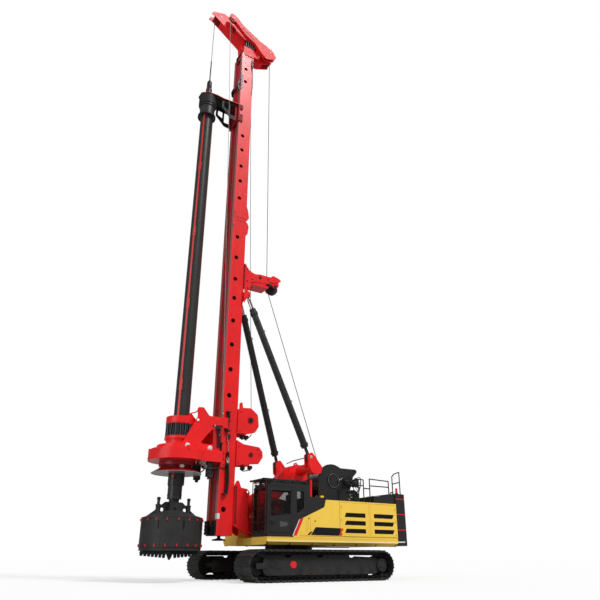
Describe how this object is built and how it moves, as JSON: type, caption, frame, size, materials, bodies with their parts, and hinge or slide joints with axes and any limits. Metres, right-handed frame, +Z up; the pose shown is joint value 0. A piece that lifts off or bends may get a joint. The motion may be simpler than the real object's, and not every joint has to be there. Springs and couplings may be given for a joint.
{
  "type": "rotary piling rig",
  "caption": "Crawler-mounted rotary piling rig with a tall box mast, Kelly bar, rotary drive, drilling bucket, cab and rear winch.",
  "frame": {"origin": "on the ground, at the middle of the machine's length and width", "axes": "+X forward towards the drilling tool, +Y to the machine's left, +Z up"},
  "size_m": [9.89, 4.8, 25.6108],
  "materials": {
    "red_paint": "gloss",
    "yellow_paint": "gloss",
    "dark_paint": "satin",
    "kelly_steel": "satin",
    "track_steel": "matt",
    "drum_steel": "matt",
    "rod_chrome": "polished",
    "window_glass": "clear",
    "seat_cover": "matt",
    "engine_iron": "matt",
    "lamp_red": "gloss"
  },
  "bodies": {
    "undercarriage": {"car_body": "dark_paint"},
    "left_track": {"side_frame_left": "dark_paint", "track_left": "track_steel", "wheels_left": "dark_paint"},
    "right_track": {"side_frame_right": "dark_paint", "track_right": "track_steel", "wheels_right": "dark_paint"},
    "house": {"deck": "yellow_paint", "boom_brackets": "red_paint", "engine_hood": "yellow_paint", "side_box_left": "yellow_paint", "side_box_right": "yellow_paint", "dark_covers": "dark_paint", "beacon": "lamp_red", "engine_block": "engine_iron", "counterweight": "dark_paint", "cab_shell": "dark_paint", "cab_glass": "window_glass", "guard_and_rails": "dark_paint", "cab_seat": "seat_cover", "main_winch_frame": "dark_paint"},
    "door_left_front": {"hood_door_left_front": "yellow_paint"},
    "door_left_rear": {"hood_door_left_rear": "yellow_paint"},
    "door_right_front": {"hood_door_right_front": "yellow_paint"},
    "door_right_rear": {"hood_door_right_rear": "yellow_paint"},
    "cab_entry": {"cab_door": "dark_paint", "cab_door_glass": "window_glass"},
    "main_winch_drum": {"main_drum": "drum_steel"},
    "boom": {"luff_boom": "red_paint"},
    "struts": {"rear_struts": "red_paint"},
    "mast_support": {"support_frame": "red_paint"},
    "boom_cylinders": {"luff_barrels": "dark_paint"},
    "boom_cylinder_rods": {"luff_rods": "rod_chrome"},
    "mast": {"mast_lower": "red_paint", "mast_upper": "red_paint", "mast_cradle": "red_paint", "mast_winches": "red_paint", "mast_head": "red_paint", "rope_bracket": "red_paint"},
    "aux_winch_drum": {"aux_drum": "drum_steel"},
    "feed_winch_drum": {"feed_drum": "drum_steel"},
    "front_sheave": {"sheave_front": "drum_steel"},
    "aux_sheave": {"sheave_aux_front": "drum_steel"},
    "rear_sheaves": {"sheaves_rear": "drum_steel"},
    "lower_sheave": {"bracket_sheave": "drum_steel"},
    "mast_cylinders": {"mast_barrels": "dark_paint"},
    "left_rod": {"mast_rod_left": "rod_chrome"},
    "right_rod": {"mast_rod_right": "rod_chrome"},
    "drive": {"drive_carriage": "red_paint", "rotary_gearbox": "red_paint", "damper_cage": "red_paint", "drive_motors": "dark_paint"},
    "guide": {"kelly_guide": "kelly_steel"},
    "kelly": {"kelly_outer": "kelly_steel"},
    "inner_kelly": {"kelly_inner": "kelly_steel", "bucket_shell": "kelly_steel"},
    "bucket_bottom": {"bucket_door": "kelly_steel"},
    "swivel": {"rope_swivel": "kelly_steel"}
  },
  "joints": [
    {"name": "left_track_slide", "type": "slide", "parent": "undercarriage", "child": "left_track", "axis": [0, -1, 0], "range_m": [0, 0.65]},
    {"name": "right_track_slide", "type": "slide", "parent": "undercarriage", "child": "right_track", "axis": [0, 1, 0], "range_m": [0, 0.65]},
    {"name": "slew", "type": "hinge", "parent": "undercarriage", "child": "house", "pos_m": [-0.625, 0, 1.12], "axis": [0, 0, 1], "continuous": true},
    {"name": "boom_luff", "type": "hinge", "parent": "house", "child": "boom", "pos_m": [-0.225, 0, 1.64], "axis": [0, -1, 0], "range_deg": [0, 28]},
    {"name": "strut_swing", "type": "hinge", "parent": "house", "child": "struts", "pos_m": [-1.375, 0, 2.38], "axis": [0, -1, 0], "range_deg": [-0.5, 28.5]},
    {"name": "support_level", "type": "hinge", "parent": "boom", "child": "mast_support", "pos_m": [1.425, 0, 1.89], "axis": [0, -1, 0], "range_deg": [-28.5, 0.5]},
    {"name": "boom_cylinder_swing", "type": "hinge", "parent": "house", "child": "boom_cylinders", "pos_m": [-1.525, 0, 1.6], "axis": [0, -1, 0], "range_deg": [-0.5, 11.56]},
    {"name": "boom_cylinder_stroke", "type": "slide", "parent": "boom_cylinders", "child": "boom_cylinder_rods", "axis": [0.967, 0, 0.2547], "range_m": [-0.197, 0.005]},
    {"name": "mast_tilt", "type": "hinge", "parent": "mast_support", "child": "mast", "pos_m": [1.495, 0, 2.35], "axis": [0, 1, 0], "range_deg": [-8, 5]},
    {"name": "mast_cylinder_swing", "type": "hinge", "parent": "mast_support", "child": "mast_cylinders", "pos_m": [-0.775, 0, 4.13], "axis": [0, 1, 0], "range_deg": [-9.41, 6]},
    {"name": "left_rod_stroke", "type": "slide", "parent": "mast_cylinders", "child": "left_rod", "axis": [0.3539, -0.1228, 0.9272], "range_m": [-0.3881, 0.2445]},
    {"name": "right_rod_stroke", "type": "slide", "parent": "mast_cylinders", "child": "right_rod", "axis": [0.3539, 0.1228, 0.9272], "range_m": [-0.3881, 0.2445]},
    {"name": "drive_feed", "type": "slide", "parent": "mast", "child": "drive", "axis": [0, 0, 1], "range_m": [-0.35, 6]},
    {"name": "kelly_hoist", "type": "slide", "parent": "mast", "child": "guide", "axis": [0, 0, 1], "range_m": [-13, 0.4]},
    {"name": "kelly_spin", "type": "hinge", "parent": "guide", "child": "kelly", "pos_m": [3.915, 0, 19.5], "axis": [0, 0, 1], "continuous": true},
    {"name": "kelly_telescope", "type": "slide", "parent": "kelly", "child": "inner_kelly", "axis": [0, 0, 1], "range_m": [-13, 0]},
    {"name": "bucket_bottom_swing", "type": "hinge", "parent": "inner_kelly", "child": "bucket_bottom", "pos_m": [3.915, -1.035, 0.985], "axis": [-1, 0, 0], "range_deg": [0, 60]},
    {"name": "swivel_spin", "type": "hinge", "parent": "inner_kelly", "child": "swivel", "pos_m": [3.915, 0, 20.1], "axis": [0, 0, 1], "continuous": true},
    {"name": "main_drum_spin", "type": "hinge", "parent": "house", "child": "main_winch_drum", "pos_m": [-2.245, 0, 3.45], "axis": [0, 1, 0], "continuous": true},
    {"name": "aux_drum_spin", "type": "hinge", "parent": "mast", "child": "aux_winch_drum", "pos_m": [1.335, 0, 5.4], "axis": [0, 1, 0], "continuous": true},
    {"name": "feed_drum_spin", "type": "hinge", "parent": "mast", "child": "feed_winch_drum", "pos_m": [1.275, 0, 4.15], "axis": [0, 1, 0], "continuous": true},
    {"name": "front_sheave_spin", "type": "hinge", "parent": "mast", "child": "front_sheave", "pos_m": [3.661, 0, 25.29], "axis": [0, 1, 0], "continuous": true},
    {"name": "aux_sheave_spin", "type": "hinge", "parent": "mast", "child": "aux_sheave", "pos_m": [3.105, 0.46, 25.2], "axis": [0, 1, 0], "continuous": true},
    {"name": "rear_sheaves_spin", "type": "hinge", "parent": "mast", "child": "rear_sheaves", "pos_m": [1.015, 0.2, 24.09], "axis": [0, 1, 0], "continuous": true},
    {"name": "lower_sheave_spin", "type": "hinge", "parent": "mast", "child": "lower_sheave", "pos_m": [0.345, 0, 11.22], "axis": [0, 1, 0], "continuous": true},
    {"name": "cab_door_swing", "type": "hinge", "parent": "house", "child": "cab_entry", "pos_m": [0.245, 1.637, 2.2], "axis": [0, 0, 1], "range_deg": [0, 160]},
    {"name": "hood_left_front_swing", "type": "hinge", "parent": "house", "child": "door_left_front", "pos_m": [-1.845, 1.637, 2], "axis": [0, 0, -1], "range_deg": [0, 100]},
    {"name": "hood_left_rear_swing", "type": "hinge", "parent": "house", "child": "door_left_rear", "pos_m": [-4.4347, 1.637, 2], "axis": [0, 0, 1], "range_deg": [0, 100]},
    {"name": "hood_right_front_swing", "type": "hinge", "parent": "house", "child": "door_right_front", "pos_m": [-1.845, -1.637, 2], "axis": [0, 0, 1], "range_deg": [0, 100]},
    {"name": "hood_right_rear_swing", "type": "hinge", "parent": "house", "child": "door_right_rear", "pos_m": [-4.4347, -1.637, 2], "axis": [0, 0, -1], "range_deg": [0, 100]}
  ],
  "couplings": [
    {"joint": "strut_swing", "follows": "boom_luff", "ratio": 1},
    {"joint": "support_level", "follows": "boom_luff", "ratio": -1},
    {"joint": "boom_cylinder_swing", "follows": "boom_luff", "ratio": 0.395},
    {"joint": "boom_cylinder_stroke", "follows": "boom_luff", "m_per_rad": -0.3928},
    {"joint": "mast_cylinder_swing", "follows": "mast_tilt", "ratio": 1.139},
    {"joint": "left_rod_stroke", "follows": "mast_tilt", "m_per_rad": 2.744},
    {"joint": "right_rod_stroke", "follows": "mast_tilt", "m_per_rad": 2.744}
  ]
}
